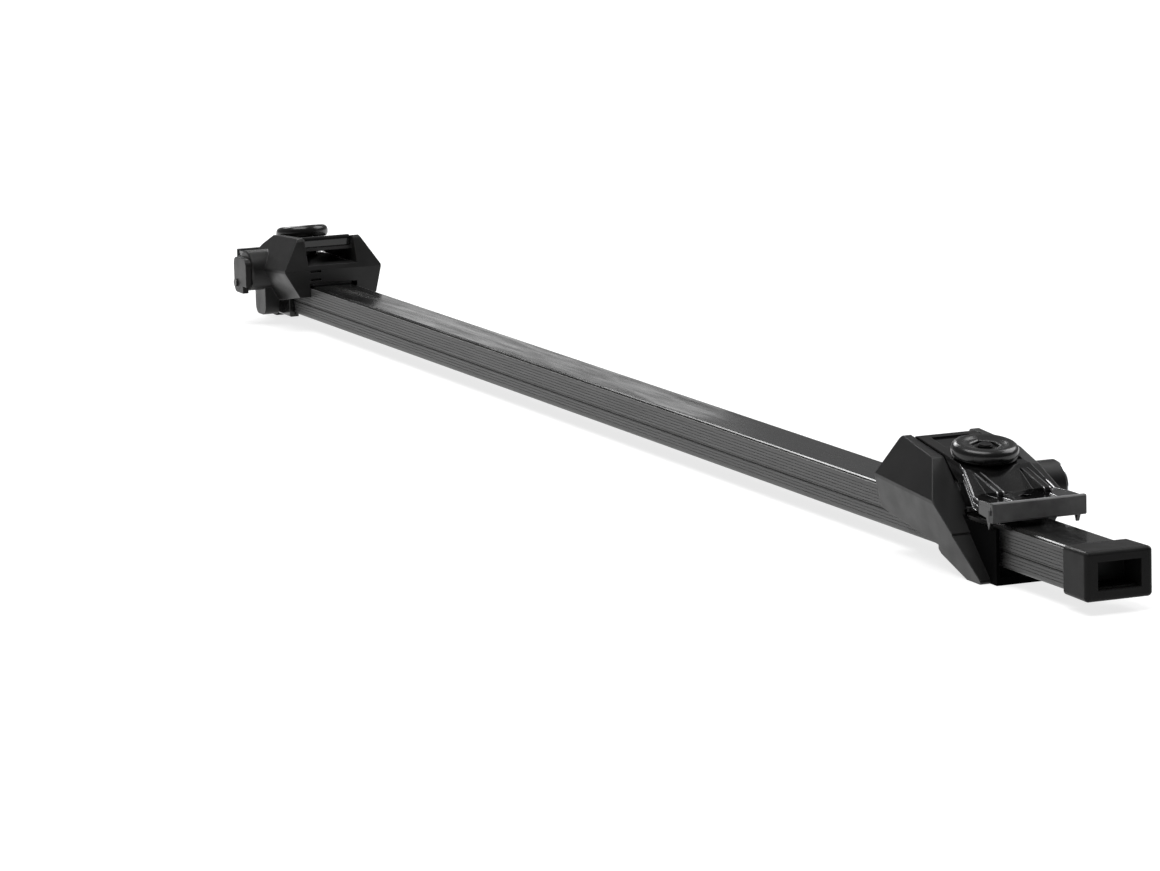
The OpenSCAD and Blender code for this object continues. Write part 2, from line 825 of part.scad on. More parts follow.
// Rubber channel over the plate's downturned lip
module edge_strip(side) {
    low = flat_z + strip_lip - strip_h;
    front = plate_out + seat_gap;
    back = plate_out - plate_t - seat_gap;
    color(soft_rubber)
        at_foot(side)
            difference() {
                along_y(-strip_len / 2, strip_len / 2)
                    polygon([
                        [back - strip_wall, low + 0.6], [back - strip_wall + 0.6, low],
                        [front + strip_wall - 0.8, low], [front + strip_wall, low + 0.8],
                        [front + strip_wall, low + strip_h - 0.6],
                        [front + strip_wall - 0.6, low + strip_h],
                        [front - 1.4, low + strip_h], [front - 1.4, flat_z + seat_gap],
                        [front, flat_z + seat_gap], [front, flat_z - 6 - seat_gap],
                        [back, flat_z - 6 - seat_gap], [back, flat_z - plate_t - 1.6],
                        [back - strip_wall, flat_z - plate_t - 1.6]
                    ]);
                for (s = [-1, 1])
                    translate([plate_out - 8, s * (lip_half - plate_t / 2 - 0.1), low - 1 + strip_h / 2])
                        translate([0, -plate_t / 2 - seat_gap, -strip_h / 2])
                            cube([8 - 2.6 + seat_gap, plate_t + 2 * seat_gap, strip_h]);
            }
}

module thrust_washer(side) {
    color(zinc)
        at_foot(side)
            on_stud()
                translate([0, 0, slide_gap])
                    difference() {
                        cylinder(d = washer_d, h = washer_t);
                        translate([0, 0, -1])
                            cylinder(r = thread_r + slide_gap, h = washer_t + 2);
                    }
}

// Round disc nut with a hexagon recess
module disc_nut(side) {
    r = disc_d / 2;
    color(black_plastic)
        at_foot(side)
            on_stud()
                translate([0, 0, disc_low])
                    difference() {
                        rotate_extrude($fn = 96)
                            polygon(concat(
                                [[thread_r + 0.6, 0], [r - 1.5, 0]],
                                arc([r - 1.5, 1.5], 1.5, -90, 0, 4),
                                arc([r - disc_round, disc_t - disc_round], disc_round, 0, 90, 6),
                                [[r - 6, disc_t], [r - 7.5, disc_t - 0.6], [thread_r + 0.6, disc_t - 0.6]]
                            ));
                        translate([0, 0, insert_lift])
                            cylinder(r = hex_r + seat_gap, h = disc_t, $fn = 6);
                    }
}

// Steel hexagon nut at the bottom of the recess
module nut_insert(side) {
    color(zinc)
        at_foot(side)
            on_stud()
                translate([0, 0, disc_low + insert_lift + seat_gap])
                    difference() {
                        cylinder(r = hex_r, h = insert_h, $fn = 6);
                        translate([0, 0, -1])
                            cylinder(r = thread_r + turn_gap, h = insert_h + 2);
                    }
}

bar_tube();
bar_jacket();
end_cap_left();
end_cap_right();
foot_housing(left);  // foot_housing_left
foot_housing(right);  // foot_housing_right
top_pad(left);  // top_pad_left
top_pad(right);  // top_pad_right
bar_jaw(left);  // bar_jaw_left
bar_jaw(right);  // bar_jaw_right
side_bolt(left);  // side_bolt_left
side_bolt(right);  // side_bolt_right
bolt_nut(left);  // bolt_nut_left
bolt_nut(right);  // bolt_nut_right
lock_barrel(left);  // lock_barrel_left
lock_barrel(right);  // lock_barrel_right
lock_cover();  // lock_cover_left
cover_rivet();  // cover_rivet_left
clamp_stud(left);  // clamp_stud_left
clamp_stud(right);  // clamp_stud_right
clamp_plate(left);  // clamp_plate_left
clamp_plate(right);  // clamp_plate_right
edge_strip(left);  // edge_strip_left
edge_strip(right);  // edge_strip_right
thrust_washer(left);  // thrust_washer_left
thrust_washer(right);  // thrust_washer_right
disc_nut(left);  // disc_nut_left
disc_nut(right);  // disc_nut_right
nut_insert(left);  // nut_insert_left
nut_insert(right);  // nut_insert_right
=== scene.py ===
"""Looks of the roof rack crossbar: camera, studio, finishes and fine pieces on the CAD frame."""

import math

import bmesh
import bpy
import numpy as np
from mathutils import Matrix, Vector


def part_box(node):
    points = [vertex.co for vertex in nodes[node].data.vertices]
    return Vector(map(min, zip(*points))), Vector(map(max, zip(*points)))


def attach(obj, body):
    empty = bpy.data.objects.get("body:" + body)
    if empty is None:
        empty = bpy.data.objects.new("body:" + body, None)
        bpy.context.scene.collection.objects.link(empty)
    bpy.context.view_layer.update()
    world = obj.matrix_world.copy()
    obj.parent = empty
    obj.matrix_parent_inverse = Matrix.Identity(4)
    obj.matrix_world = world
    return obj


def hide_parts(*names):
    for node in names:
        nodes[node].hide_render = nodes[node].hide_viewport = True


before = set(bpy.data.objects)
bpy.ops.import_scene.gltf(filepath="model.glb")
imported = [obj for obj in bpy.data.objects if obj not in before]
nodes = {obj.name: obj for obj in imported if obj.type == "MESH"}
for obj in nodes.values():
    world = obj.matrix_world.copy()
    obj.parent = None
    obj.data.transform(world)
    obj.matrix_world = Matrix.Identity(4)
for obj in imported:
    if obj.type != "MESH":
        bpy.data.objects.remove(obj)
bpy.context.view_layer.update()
SIDES = ("left", "right")

# Camera, found by fitting the bar and its feet to the photograph
CAMERA_PLACE = (2.9226, -1.2652, 0.5246)
CAMERA_RIGHT = (0.39227, 0.91951, -0.02596)
CAMERA_UP = (-0.14438, 0.08942, 0.98547)
CAMERA_FORWARD = (-0.90848, 0.38282, -0.16782)
CAMERA_LENS = 169.0
SENSOR_WIDTH = 36.0
CLIP_END = 50.0

# Soft boxes: name, place, target, width and height in metres, power in watts
LAMPS = (
    ("overhead_box", (0.3, -1.0, 4.4), (-0.4, 0, 0), (3.6, 2.4), 175.0),
    ("far_card", (-2.95, 1.16, 0.50), (-0.2, 0, 0), (0.42, 0.26), 0.30),
    ("fill_box", (-0.2, 2.8, 2.4), (0, 0, 0), (3.0, 2.0), 80.0),
    ("back_box", (-2.65, 0.1, 1.8), (0.2, 0, 0), (1.3, 0.7), 26.0),
)

# Studio room: greys from the horizon up, and its strength from the far side to the camera's
ROOM_GREYS = ((0.0, (0.24, 0.24, 0.242)), (0.4, (0.17, 0.17, 0.172)), (1.0, (0.34, 0.34, 0.34)))
ROOM_SIDES = (-0.3, 0.6)
ROOM_STRENGTH = (1.0, 0.3)

# Floor: half its width, grey of its paper, and its glow from near the object to far from it
FLOOR_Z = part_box("foot_housing_right")[0].z
FLOOR_HALF = 12.0
FLOOR_GREY = (0.34, 0.34, 0.34)
GLOW_REACH = (0.6, 2.6)
GLOW = (0.78, 1.0)

# Each foot is drawn about its stud in millimetres, with +X towards the near end of the bar
MM = 0.001
FOOT_PLACE = {"left": -560.0, "right": 456.0}
FOOT_TURN = {"left": -1.0, "right": 1.0}

# Clamp plate: upper face at the stud, its bend, its level end, its half widths and its flare
PLATE_TILT = math.radians(8.5)
PLATE_Z = 36.8
BEND_TOP = 14.0
BEND_LOW = 33.0
FLAT_Z = 24.0
PLATE_HALF = 17.2
LIP_HALF = 26.0
FLARE = (5.0, 44.0)

# Every bead: points round its section, and the least share of its squared radius at the ends
BEAD_SIDES = 10
BEAD_ENDS = 0.04

# Pressed ribs: distance from the plate's middle, half width, end and height over the level end
RIB_AT = 13.4
RIB_HALF = 2.3
RIB_END = 44.0
RIB_RISE = 2.8

# Beads along a rib: how far inside its edge they run and how deep they sit, where they start,
# and the places in X where the crest starts, levels, noses over and reaches the flat
RIB_BEAD = 0.6
RIB_BEAD_INSET = 0.55
RIB_BEAD_SINK = 0.15
RIB_BEAD_FROM = 16.6
RIB_BEAD_STEPS = 60
RIB_FOOT = 15.5
RIB_SHOULDER = 18.0
RIB_BROW = RIB_END - 1.0
RIB_NOSE = RIB_END - 0.2
RIB_TIP = RIB_END + 0.4

# Crease from a rib's nose: its reach in X, how it closes towards the middle, and its height
CREASE_FROM = RIB_END + 0.8
CREASE_END = 55.0
CREASE_SLOPE = 0.06
CREASE_RISE = 0.05
CREASE_BEAD = 0.5
CREASE_STEPS = 20

# Beads on the skirts: side, its sign and first bead's start; then drop, end and radius of each;
# then how much later each next bead starts, and how far the beads sit in the skirt
SKIRT_SIDES = (("near", -1, 8.0), ("far", 1, 25.5))
SKIRT_LINES = ((0.5, 43.2, 0.7), (3.6, 42.0, 0.5), (6.4, 38.0, 0.5))
SKIRT_STEP = 2.5
SKIRT_BEAD_STEPS = 40
SKIRT_SINK = 0.1
SKIRT_BURY = 0.2

# Folded sides of the plate beside the stud: reach in X, faces in Y, rounding, depth under the
# plate's face at their least and their lowest height, and how fast the edge falls to it
FOLD_REACH = (-16.0, 15.0)
FOLD_INNER = 15.5
FOLD_OUTER = 16.95
FOLD_ROUND = 0.4
FOLD_TOP = 1.0
FOLD_DEPTH = 1.5
FOLD_LOW = 25.9
FOLD_STEPS = 40
FOLD_PACE = 2.4
FOLD_POWER = 0.7

# Disc nut: height over the plate, half width of its hexagon, and its outline about the stud as
# radius, height and whether the radius counts from the hexagon
DISC_LOW = 1.56
HEX_HALF = 6.6
DISC_STEPS = 144
DISC_OUTLINE = np.array((
    (4.7, 0.0, 0), (8.6, 0.0, 0), (9.4, -1.1, 0), (15.2, -1.15, 0), (16.4, -0.8, 0),
    (17.1, -0.1, 0), (17.55, 1.2, 0), (17.75, 2.8, 0), (17.55, 4.3, 0), (16.95, 5.5, 0),
    (15.95, 6.35, 0), (14.7, 6.85, 0), (13.3, 6.95, 0), (12.0, 6.75, 0), (10.8, 6.3, 0),
    (9.7, 5.9, 0), (8.7, 5.7, 0),
    (0.5, 5.6, 1), (0.12, 5.25, 1), (0.0, 4.6, 1), (0.0, 0.95, 1), (4.7, 0.95, 0),
))

# Stud's thread: pitch, core radius, height of a ridge, its reach along the stud, and the
# points along it and round it
THREAD_PITCH = 1.25
THREAD_CORE = 3.72
THREAD_RIDGE = 0.4
THREAD_REACH = (-10.5, -1.6)
THREAD_STEPS = (90, 32)

# Lock boss: its axis in X and Z, its end in Y, and the bezel's outline as radius and height
BOSS_PLACE = (-3.0, 18.0)
BOSS_END = 43.0
BEZEL_STEPS = 96
BEZEL_OUTLINE = np.array((
    (9.2, -0.3), (12.0, -0.3), (12.6, -0.2), (12.85, 0.1), (12.85, 0.45), (12.6, 0.8),
    (12.1, 1.0), (11.0, 1.05), (9.5, 1.0), (9.2, 0.8),
))

# Painted shade in the feet's tunnels, in metres: how near the bar, how far from which middle, how
# soon the painted shade fades out past each, its black and the share of its reflection that is
# left
TUNNEL_HALF = 0.0213
TUNNEL_TOP = 0.0122
SIDE_FADE = 0.0004
TOP_FADE = 0.001
END_FADE = 0.001
TUNNEL_MIDDLE = -0.052
TUNNEL_FROM = 0.519
TUNNEL_SHADE_BLACK = (0.0015, 0.0015, 0.0016)
TUNNEL_REFLECTION_SHADE = (0.1, 0.1, 0.1)

# Sockets of a colour Mix node
MIX_SHARE, MIX_A, MIX_B, MIX_RESULT = 0, 6, 7, 2


def make_camera():
    """Camera at the photograph's place, looking along its axis, with the fitted lens."""
    data = bpy.data.cameras.new("photo_camera")
    data.lens = CAMERA_LENS
    data.sensor_width = SENSOR_WIDTH
    data.clip_end = CLIP_END
    camera = bpy.data.objects.new("photo_camera", data)
    bpy.context.collection.objects.link(camera)
    turn = Matrix((CAMERA_RIGHT, CAMERA_UP, -Vector(CAMERA_FORWARD))).transposed()
    camera.matrix_world = Matrix.Translation(CAMERA_PLACE) @ turn.to_4x4()
    bpy.context.scene.camera = camera


def soft_lamp(name, place, target, size, power):
    """A rectangular soft box at a place, turned to a target and out of the camera's sight."""
    data = bpy.data.lights.new(name, "AREA")
    data.shape = "RECTANGLE"
    data.size, data.size_y = size
    data.energy = power
    lamp = bpy.data.objects.new(name, data)
    bpy.context.collection.objects.link(lamp)
    lamp.visible_camera = False
    lamp.location = place
    lamp.rotation_euler = (Vector(target) - Vector(place)).to_track_quat("-Z", "Y").to_euler()


def map_range(tree, source, start, end, low, high):
    """Node that maps a value's range from start to end onto low to high."""
    remap = tree.nodes.new("ShaderNodeMapRange")
    remap.inputs["From Min"].default_value = start
    remap.inputs["From Max"].default_value = end
    remap.inputs["To Min"].default_value = low
    remap.inputs["To Max"].default_value = high
    tree.links.new(source, remap.inputs["Value"])
    return remap.outputs["Result"]


def math_node(tree, operation, first, second=None):
    """Node for one sum: first and second are sockets, or second is a number."""
    made = tree.nodes.new("ShaderNodeMath")
    made.operation = operation
    tree.links.new(first, made.inputs[0])
    if isinstance(second, float):
        made.inputs[1].default_value = second
    elif second is not None:
        tree.links.new(second, made.inputs[1])
    return made.outputs["Value"]


def make_world():
    """A plain studio room: dim above the horizon, brighter overhead, dimmest behind the camera."""
    world = bpy.data.worlds.new("studio_room")
    bpy.context.scene.world = world
    world.use_nodes = True
    tree = world.node_tree
    tree.nodes.clear()
    out = tree.nodes.new("ShaderNodeOutputWorld")
    room = tree.nodes.new("ShaderNodeBackground")
    place = tree.nodes.new("ShaderNodeTexCoord")
    split = tree.nodes.new("ShaderNodeSeparateXYZ")
    ramp = tree.nodes.new("ShaderNodeValToRGB")
    (_, low), (middle_at, middle), (_, high) = ROOM_GREYS
    ramp.color_ramp.elements[0].color = (*low, 1)
    ramp.color_ramp.elements[1].color = (*high, 1)
    ramp.color_ramp.elements.new(middle_at).color = (*middle, 1)
    tree.links.new(place.outputs["Generated"], split.inputs["Vector"])
    tree.links.new(split.outputs["Z"], ramp.inputs["Fac"])
    strength = map_range(tree, split.outputs["X"], *ROOM_SIDES, *ROOM_STRENGTH)
    tree.links.new(strength, room.inputs["Strength"])
    tree.links.new(ramp.outputs["Color"], room.inputs["Color"])
    tree.links.new(room.outputs["Background"], out.inputs["Surface"])


def make_floor():
    """A wide pale floor that keeps the object's shadow and fades to white away from it."""
    mesh = bpy.data.meshes.new("floor")
    half = FLOOR_HALF
    corners = [(-half, -half, FLOOR_Z), (half, -half, FLOOR_Z), (half, half, FLOOR_Z),
               (-half, half, FLOOR_Z)]
    mesh.from_pydata(corners, [], [(0, 1, 2, 3)])
    floor = bpy.data.objects.new("floor", mesh)
    bpy.context.collection.objects.link(floor)
    material = bpy.data.materials.new("pale_floor")
    material.use_nodes = True
    tree = material.node_tree
    tree.nodes.clear()
    out = tree.nodes.new("ShaderNodeOutputMaterial")
    add = tree.nodes.new("ShaderNodeAddShader")
    paper = tree.nodes.new("ShaderNodeBsdfDiffuse")
    glow = tree.nodes.new("ShaderNodeEmission")
    path = tree.nodes.new("ShaderNodeLightPath")
    place = tree.nodes.new("ShaderNodeTexCoord")
    length = tree.nodes.new("ShaderNodeVectorMath")
    length.operation = "LENGTH"
    tree.links.new(place.outputs["Object"], length.inputs[0])
    fade = map_range(tree, length.outputs["Value"], *GLOW_REACH, *GLOW)
    paper.inputs["Color"].default_value = (*FLOOR_GREY, 1)
    glow.inputs["Color"].default_value = (1, 1, 1, 1)
    seen = math_node(tree, "MAXIMUM", path.outputs["Is Camera Ray"],
                     path.outputs["Is Glossy Ray"])
    shown = math_node(tree, "MAXIMUM", seen, path.outputs["Is Transmission Ray"])
    tree.links.new(math_node(tree, "MULTIPLY", shown, fade), glow.inputs["Strength"])
    tree.links.new(paper.outputs["BSDF"], add.inputs[0])
    tree.links.new(glow.outputs["Emission"], add.inputs[1])
    tree.links.new(add.outputs["Shader"], out.inputs["Surface"])
    mesh.materials.append(material)


class Finish:
    """Node material with a Principled shader, read in Object coordinates."""

    def __init__(self, name, metallic=0.0, specular=0.5):
        self.material = bpy.data.materials.new(name)
        self.material.use_nodes = True
        self.tree = self.material.node_tree
        self.shader = self.tree.nodes["Principled BSDF"]
        self.shader.inputs["Metallic"].default_value = metallic
        self.shader.inputs["Specular IOR Level"].default_value = specular
        self.place = self.tree.nodes.new("ShaderNodeTexCoord")
        self.normal = None

    def node(self, kind, **values):
        made = self.tree.nodes.new(kind)
        for key, value in values.items():
            setattr(made, key, value)
        return made

    def link(self, a, b):
        self.tree.links.new(a, b)

    def noise(self, scale, detail=3.0, stretch=(1, 1, 1), rough=0.5):
        """Noise over the piece; stretch multiplies the pattern's frequency along X, Y and Z."""
        mapping = self.node("ShaderNodeMapping")
        mapping.inputs["Scale"].default_value = stretch
        self.link(self.place.outputs["Object"], mapping.inputs["Vector"])
        noise = self.node("ShaderNodeTexNoise")
        noise.inputs["Scale"].default_value = scale
        noise.inputs["Detail"].default_value = detail
        noise.inputs["Roughness"].default_value = rough
        self.link(mapping.outputs["Vector"], noise.inputs["Vector"])
        return noise.outputs["Fac"]

    def spread(self, source, low, high, start=0.3, end=0.7):
        """Maps a pattern's range to values from low to high."""
        return map_range(self.tree, source, start, end, low, high)

    def rough(self, source, low, high):
        """Roughness that runs from low to high with a pattern."""
        self.link(self.spread(source, low, high), self.shader.inputs["Roughness"])

    def tint(self, source, dark, light, start=0.3, end=0.7):
        """Colour that runs from dark to light with a pattern."""
        mix = self.node("ShaderNodeMix", data_type="RGBA")
        mix.inputs[MIX_A].default_value = (*dark, 1)
        mix.inputs[MIX_B].default_value = (*light, 1)
        self.link(self.spread(source, 0.0, 1.0, start, end), mix.inputs[MIX_SHARE])
        self.link(mix.outputs[MIX_RESULT], self.shader.inputs["Base Color"])

    def paint_tunnel_shade(self):
        """Paints shade in the feet's tunnels: colour falls to near black, reflection dims,
        roughness rises.

        They lie nearer the bar than TUNNEL_HALF and TUNNEL_TOP, and farther than TUNNEL_FROM
        from TUNNEL_MIDDLE along X.
        """
        split = self.node("ShaderNodeSeparateXYZ")
        self.link(self.place.outputs["Object"], split.inputs["Vector"])
        across = math_node(self.tree, "ABSOLUTE", split.outputs["Y"])
        beside = self.spread(across, 1.0, 0.0, TUNNEL_HALF - SIDE_FADE, TUNNEL_HALF)
        below = self.spread(split.outputs["Z"], 1.0, 0.0, TUNNEL_TOP - TOP_FADE, TUNNEL_TOP)
        shifted = math_node(self.tree, "SUBTRACT", split.outputs["X"], TUNNEL_MIDDLE)
        along = math_node(self.tree, "ABSOLUTE", shifted)
        ended = self.spread(along, 0.0, 1.0, TUNNEL_FROM, TUNNEL_FROM + END_FADE)
        near = math_node(self.tree, "MULTIPLY", beside, below)
        shade_mask = math_node(self.tree, "MULTIPLY", near, ended)
        # Painted shade: the base colour turns near black in the tunnels
        colour = self.shader.inputs["Base Color"]
        shade = self.node("ShaderNodeMix", data_type="RGBA")
        self.link(shade_mask, shade.inputs[MIX_SHARE])
        self.link(colour.links[0].from_socket, shade.inputs[MIX_A])
        shade.inputs[MIX_B].default_value = (*TUNNEL_SHADE_BLACK, 1)
        self.link(shade.outputs[MIX_RESULT], colour)
        roughness = self.shader.inputs["Roughness"]
        matt = math_node(self.tree, "MAXIMUM", roughness.links[0].from_socket, shade_mask)
        self.link(matt, roughness)
        # Painted shade on the reflection: the specular tint dims in the tunnels
        reflection_shade = self.node("ShaderNodeMix", data_type="RGBA")
        self.link(shade_mask, reflection_shade.inputs[MIX_SHARE])
        reflection_shade.inputs[MIX_A].default_value = (1, 1, 1, 1)
        reflection_shade.inputs[MIX_B].default_value = (*TUNNEL_REFLECTION_SHADE, 1)
        self.link(reflection_shade.outputs[MIX_RESULT], self.shader.inputs["Specular Tint"])

    def soft_edges(self, radius):
        """Rounds the shading of sharp edges, as a mould's small radius does."""
        bevel = self.node("ShaderNodeBevel", samples=6)
        bevel.inputs["Radius"].default_value = radius
        self.normal = bevel.outputs["Normal"]
        self.link(self.normal, self.shader.inputs["Normal"])

    def bump(self, source, height, strength=1.0):
        """Bumps of the given height in metres, over the soft edges if there are any."""
        bump = self.node("ShaderNodeBump")
        bump.inputs["Strength"].default_value = strength
        bump.inputs["Distance"].default_value = height
        self.link(source, bump.inputs["Height"])
        if self.normal is not None:
            self.link(self.normal, bump.inputs["Normal"])
        self.normal = bump.outputs["Normal"]
        self.link(self.normal, self.shader.inputs["Normal"])


def moulded_black():
    """Glass-filled plastic of the feet: spark grain, faint flow marks, matt with painted shade in
    the tunnels.
    """
    finish = Finish("moulded_black", specular=0.32)
    finish.tint(finish.noise(22.0, 4.0), (0.008, 0.008, 0.0083), (0.014, 0.0138, 0.0136))
    finish.rough(finish.noise(60.0), 0.32, 0.46)
    # Painted shade: the tunnels of the feet are darkened to near black
    finish.paint_tunnel_shade()
    finish.soft_edges(0.0007)
    finish.bump(finish.noise(2600.0, 2.0), 0.00004, 0.5)
    return finish.material


def cap_black():
    """Smooth moulded plastic of the end caps, with a light scuffed bloom."""
    finish = Finish("cap_black", specular=0.08)
    finish.tint(finish.noise(40.0), (0.015, 0.015, 0.0152), (0.022, 0.0218, 0.0215))
    finish.rough(finish.noise(90.0), 0.33, 0.43)
    finish.soft_edges(0.0005)
    finish.bump(finish.noise(2200.0, 2.0), 0.00004, 0.5)
    return finish.material


def nut_black():
    """Satin plastic of the disc nuts, glossier than the feet."""
    finish = Finish("nut_black", specular=0.4)
    finish.tint(finish.noise(70.0, 4.0), (0.008, 0.008, 0.0082), (0.015, 0.0148, 0.0145))
    finish.rough(finish.noise(60.0, 2.0), 0.20, 0.30)
    finish.soft_edges(0.0006)
    finish.bump(finish.noise(900.0, 2.0), 0.00002, 0.25)
    return finish.material


def ribbed_grey():
    """Extruded jacket: satin plastic with streaks that run along the bar."""
    finish = Finish("ribbed_grey", specular=0.4)
    streaks = finish.noise(60.0, 4.0, (0.25, 12.0, 12.0))
    fine = finish.noise(900.0, 2.0, (0.02, 1.0, 1.0))
    finish.tint(streaks, (0.066, 0.066, 0.0655), (0.108, 0.1075, 0.106))
    finish.rough(streaks, 0.34, 0.5)
    finish.bump(fine, 0.00006, 0.5)
    return finish.material


def gloss_paint():
    """Black gloss paint on pressed steel, with a slight orange-peel ripple."""
    finish = Finish("gloss_paint", specular=0.45)
    clouds = finish.noise(55.0, 4.0)
    finish.tint(clouds, (0.004, 0.004, 0.0042), (0.010, 0.0094, 0.0088), 0.45, 0.75)
    finish.rough(finish.noise(35.0, 4.0), 0.06, 0.18)
    finish.soft_edges(0.0006)
    finish.bump(finish.noise(260.0, 2.0), 0.00004, 0.4)
    return finish.material


def tube_paint():
    """Bare painted face of the tube: gloss black drawn along the bar, with light rub marks."""
    finish = Finish("tube_paint", specular=0.4)
    rub = finish.noise(30.0, 5.0, (0.4, 5.0, 5.0), 0.6)
    finish.tint(rub, (0.007, 0.007, 0.007), (0.02, 0.0198, 0.019), 0.45, 0.8)
    finish.rough(rub, 0.10, 0.30)
    finish.bump(finish.noise(120.0, 2.0, (0.3, 3.0, 3.0)), 0.00002, 0.25)
    return finish.material


def dull_rubber():
    """Matt rubber with a faint bloom."""
    finish = Finish("dull_rubber", specular=0.3)
    finish.tint(finish.noise(120.0, 4.0), (0.125, 0.125, 0.126), (0.165, 0.165, 0.166))
    finish.rough(finish.noise(300.0, 2.0), 0.68, 0.88)
    finish.soft_edges(0.0005)
    finish.bump(finish.noise(1800.0, 2.0), 0.00004, 0.5)
    return finish.material


def dark_steel():
    """Blackened steel of the rivet, slightly clouded."""
    finish = Finish("dark_steel", metallic=1.0)
    finish.tint(finish.noise(320.0), (0.07, 0.07, 0.072), (0.14, 0.139, 0.136))
    finish.rough(finish.noise(420.0), 0.30, 0.48)
    finish.soft_edges(0.0003)
    finish.bump(finish.noise(2200.0, 2.0), 0.00002, 0.5)
    return finish.material


def oxide_and_recess_shade():
    """Oiled black-oxidised steel on the studs and on the hexagon nuts in the discs, darkened
    further as painted shade where they sit deep in the discs and under the plates.
    """
    finish = Finish("oxide_and_recess_shade", metallic=1.0)
    finish.tint(finish.noise(320.0), (0.012, 0.012, 0.0124), (0.03, 0.0295, 0.029))
    finish.rough(finish.noise(420.0), 0.32, 0.5)
    finish.soft_edges(0.0003)
    return finish.material


def painted_highlight_edge():
    """Painted highlight on the pressed edges of the plate: bright metal beads that stand in for
    the light lines along them.
    """
    finish = Finish("painted_highlight_edge", metallic=1.0)
    finish.tint(finish.noise(60.0), (0.16, 0.16, 0.162), (0.44, 0.44, 0.445))
    finish.rough(finish.noise(90.0, 2.0), 0.18, 0.30)
    return finish.material


def zinc_plate():
    """Bright zinc plating, slightly clouded."""
    finish = Finish("zinc_plate", metallic=1.0)
    finish.tint(finish.noise(240.0), (0.42, 0.43, 0.45), (0.62, 0.63, 0.66))
    finish.rough(finish.noise(420.0), 0.26, 0.46)
    finish.bump(finish.noise(2200.0, 2.0), 0.00002, 0.5)
    return finish.material


def lock_chrome():
    """Polished chrome of the lock barrels and of the bezel."""
    finish = Finish("lock_chrome", metallic=1.0)
    finish.shader.inputs["Base Color"].default_value = (0.72, 0.73, 0.75, 1)
    finish.rough(finish.noise(300.0), 0.08, 0.2)
    finish.soft_edges(0.0002)
    return finish.material


def plate_height(x):
    """Height of the plate's upper face: a tilted line, then a steeper one, then level."""
    tilted = PLATE_Z - x * math.tan(PLATE_TILT)
    bend = PLATE_Z - BEND_TOP * math.tan(PLATE_TILT)
    return np.where(x < BEND_TOP, tilted, np.interp(x, (BEND_TOP, BEND_LOW), (bend, FLAT_Z)))


def plate_edge(x):
    """Half width of the plate: narrow to FLARE[0], then growing evenly to the lip at FLARE[1]."""
    return np.interp(x, FLARE, (PLATE_HALF, LIP_HALF))


def at_foot(points, side):
    """Foot millimetres to frame metres: half round on the left foot, then moved along X."""
    turn = np.array((FOOT_TURN[side], FOOT_TURN[side], 1.0))
    return (points * turn + np.array((FOOT_PLACE[side], 0.0, 0.0))) * MM


def on_stud(points):
    """Turns points about Y by the plate's tilt and lifts them to the plate's upper face."""
    x, y, z = points[..., 0], points[..., 1], points[..., 2]
    cos, sin = math.cos(PLATE_TILT), math.sin(PLATE_TILT)
    return np.stack((x * cos + z * sin, y, PLATE_Z - x * sin + z * cos), axis=-1)


def full_turn(steps):
    """Angles of one turn, in equal steps, without the last that would repeat the first."""
    return np.linspace(0, 2 * np.pi, steps, endpoint=False)


def make_piece(name, points, side, body, material, ring=False):
    """Closed skin over a grid of points: columns go round a section, rows go along the piece.

    A ring joins its last row to its first; otherwise the two end rows are closed with a face.
    """
    rows, columns = points.shape[:2]
    index = np.arange(rows * columns).reshape(rows, columns)
    along = np.vstack((index, index[:1])) if ring else index
    grid = np.hstack((along, along[:, :1]))
    quads = np.stack((grid[:-1, :-1], grid[:-1, 1:], grid[1:, 1:], grid[1:, :-1]), axis=-1)
    faces = quads.reshape(-1, 4).tolist()
    if not ring:
        faces += [index[0, ::-1].tolist(), index[-1].tolist()]
    mesh = bpy.data.meshes.new(name)
    mesh.from_pydata(at_foot(points, side).reshape(-1, 3).tolist(), [], faces)
    work = bmesh.new()
    work.from_mesh(mesh)
    bmesh.ops.recalc_face_normals(work, faces=work.faces)
    work.to_mesh(mesh)
    work.free()
    mesh.polygons.foreach_set("use_smooth", np.ones(len(mesh.polygons), dtype=bool))
    mesh.materials.append(material)
    piece = bpy.data.objects.new(name, mesh)
    bpy.context.collection.objects.link(piece)
    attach(piece, body)
    return piece


def bead(x, y, z, radius):
    """A circle of the given radius carried along the path x, y, z and drawn in at both ends.

    The radius follows the eighth-order oval (1 - u^8)^(1/2), with u from -1 to 1 along the path.
    """
    path = np.stack(np.broadcast_arrays(x, y, z), axis=-1).astype(float)
    ahead = np.gradient(path, axis=0)
    ahead /= np.linalg.norm(ahead, axis=1, keepdims=True)
    across = np.cross(ahead, (0.0, 0.0, 1.0))
    across /= np.linalg.norm(across, axis=1, keepdims=True)
    up = np.cross(across, ahead)
    u = np.linspace(-1, 1, len(path))
    size = radius * np.sqrt(np.maximum(1 - u ** 8, BEAD_ENDS))[:, None, None]
    turn = full_turn(BEAD_SIDES)[None, :, None]
    return path[:, None] + size * (across[:, None] * np.cos(turn) + up[:, None] * np.sin(turn))


def edge_bead(name, points, side, paint):
    """A bead on a clamp plate's edge, painted bright as a highlight line."""
    make_piece(f"{name}_{side}", points, side, "plate_" + side, paint)


